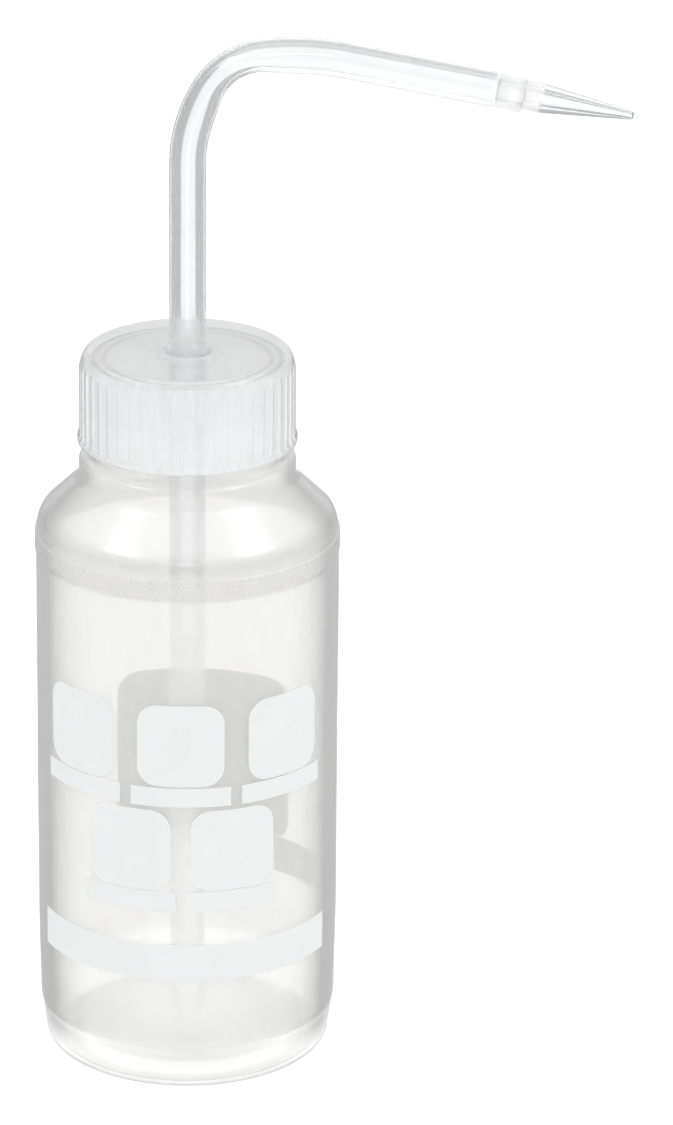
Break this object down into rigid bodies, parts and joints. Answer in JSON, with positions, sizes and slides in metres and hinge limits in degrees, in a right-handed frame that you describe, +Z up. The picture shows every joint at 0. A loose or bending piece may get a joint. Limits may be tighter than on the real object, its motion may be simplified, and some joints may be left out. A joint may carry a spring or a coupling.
{
  "type": "wash bottle",
  "caption": "Squeeze wash bottle with a ribbed screw cap, a straight dip tube, a bent delivery tube ending in a tapered tip, and blank write-on areas.",
  "frame": {"origin": "on the bottle's axis, in the plane of the ring it stands on", "axes": "+Z up along the bottle's axis, +X the way the delivery tube points, -Y the printed front"},
  "size_m": [0.1454, 0.0756, 0.2629],
  "materials": {
    "bottle_plastic": "translucent natural low-density polyethylene, satin",
    "ink": "screen-printed pale ink, flat",
    "cap_plastic": "translucent natural polypropylene, semi-gloss",
    "seal_plastic": "soft natural polyethylene",
    "tube_plastic": "clear low-density polyethylene tubing, glossy",
    "tip_plastic": "clear low-density polyethylene moulding, glossy"
  },
  "bodies": {
    "bottle": {"bottle": "bottle_plastic", "print_panels": "ink"},
    "dip_tube": {"dip_tube": "tube_plastic"},
    "cap": {"cap": "cap_plastic", "seal_ring": "seal_plastic"},
    "delivery_tube": {"delivery_tube": "tube_plastic"},
    "tip": {"tip_nozzle": "tip_plastic"}
  },
  "joints": [
    {"name": "cap_lift", "type": "slide", "parent": "bottle", "child": "dip_tube", "axis": [0, 0, 1], "range_m": [0, 0.00635]},
    {"name": "cap_turn", "type": "hinge", "parent": "dip_tube", "child": "cap", "pos_m": [0, 0, 0.17], "axis": [0, 0, 1], "range_deg": [0, 540]},
    {"name": "tube_swivel", "type": "hinge", "parent": "cap", "child": "delivery_tube", "pos_m": [0, 0, 0.178], "axis": [0, 0, 1], "continuous": true},
    {"name": "tip_pull", "type": "slide", "parent": "delivery_tube", "child": "tip", "axis": [0.9823, 0, -0.1874], "range_m": [0, 0.009]}
  ],
  "couplings": [
    {"joint": "cap_lift", "follows": "cap_turn", "m_per_rad": 0.00067375}
  ]
}
